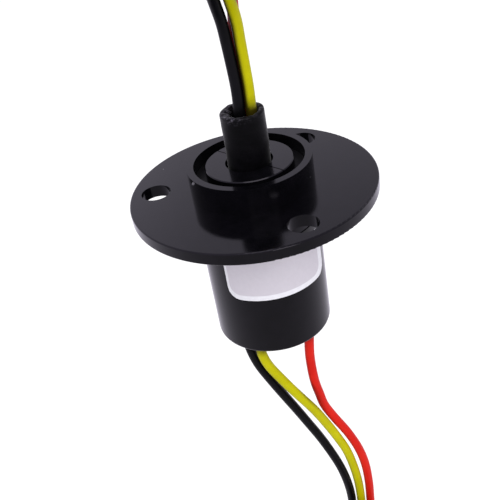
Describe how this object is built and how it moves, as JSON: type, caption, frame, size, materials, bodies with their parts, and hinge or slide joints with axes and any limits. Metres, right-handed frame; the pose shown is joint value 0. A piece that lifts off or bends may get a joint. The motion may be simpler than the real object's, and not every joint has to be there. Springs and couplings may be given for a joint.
{
  "type": "slip ring",
  "caption": "Capsule slip ring: flanged black housing whose split-capped rotor turns without limit in two ball bearings, with three coloured leads out of each end.",
  "frame": {"origin": "centre of the flange's seating face, on the rotor's axis", "axes": "+Z along the rotor's axis, out of the collar with the rotor leads; the label faces -Y"},
  "size_m": [0.044, 0.0486, 0.2095],
  "materials": {
    "housing_plastic": "polished black moulding",
    "end_cap_plastic": "satin black",
    "label_paper": "blank satin sticker",
    "seal_rubber": "matt black",
    "bearing_steel": "ground steel",
    "cage_brass": "stamped",
    "brush_block_plastic": "moulded",
    "contact_gold": "gold flashed",
    "shaft_plastic": "turned",
    "barrier_plastic": "moulded",
    "rotor_cap_plastic": "polished black moulding",
    "sleeve_rubber": "semi-matt black",
    "lead_black": "smooth insulation",
    "lead_yellow": "smooth insulation",
    "lead_red": "smooth insulation",
    "tie_plastic": "natural nylon"
  },
  "bodies": {
    "stator": {"stator_housing": "housing_plastic", "end_cap": "end_cap_plastic", "label_sticker": "label_paper", "dust_washer": "seal_rubber", "front_outer_race": "bearing_steel", "rear_outer_race": "bearing_steel", "brush_block_a": "brush_block_plastic", "brush_block_b": "brush_block_plastic", "brush_wires_a": "contact_gold", "brush_wires_b": "contact_gold", "stator_inner_wires": "lead_black", "stator_lead_black": "lead_black", "stator_lead_yellow": "lead_yellow", "stator_lead_red": "lead_red", "stator_hank": "lead_black", "stator_tie": "tie_plastic"},
    "rotor": {"rotor_shaft": "shaft_plastic", "rotor_cap_half_a": "rotor_cap_plastic", "rotor_cap_half_b": "rotor_cap_plastic", "rotor_sleeve": "sleeve_rubber", "contact_ring_1": "contact_gold", "contact_ring_2": "contact_gold", "contact_ring_3": "contact_gold", "ring_barrier_1": "barrier_plastic", "ring_barrier_2": "barrier_plastic", "ring_barrier_3": "barrier_plastic", "ring_barrier_4": "barrier_plastic", "retaining_clip": "bearing_steel", "front_inner_race": "bearing_steel", "rear_inner_race": "bearing_steel", "rotor_inner_wires": "lead_black", "rotor_lead_black": "lead_black", "rotor_lead_yellow": "lead_yellow", "rotor_lead_red": "lead_red", "rotor_hank": "lead_black", "rotor_tie": "tie_plastic"},
    "front_ball_set": {"front_balls": "bearing_steel", "front_cage": "cage_brass"},
    "rear_ball_set": {"rear_balls": "bearing_steel", "rear_cage": "cage_brass"}
  },
  "joints": [
    {"name": "rotor_spin", "type": "hinge", "parent": "stator", "child": "rotor", "pos_m": [0, 0, 0], "axis": [0, 0, 1], "continuous": true},
    {"name": "front_ball_roll", "type": "hinge", "parent": "stator", "child": "front_ball_set", "pos_m": [0, 0, 0.0022], "axis": [0, 0, 1], "continuous": true},
    {"name": "rear_ball_roll", "type": "hinge", "parent": "stator", "child": "rear_ball_set", "pos_m": [0, 0, -0.02335], "axis": [0, 0, 1], "continuous": true}
  ],
  "couplings": [
    {"joint": "front_ball_roll", "follows": "rotor_spin", "ratio": 0.4467},
    {"joint": "rear_ball_roll", "follows": "rotor_spin", "ratio": 0.445}
  ]
}
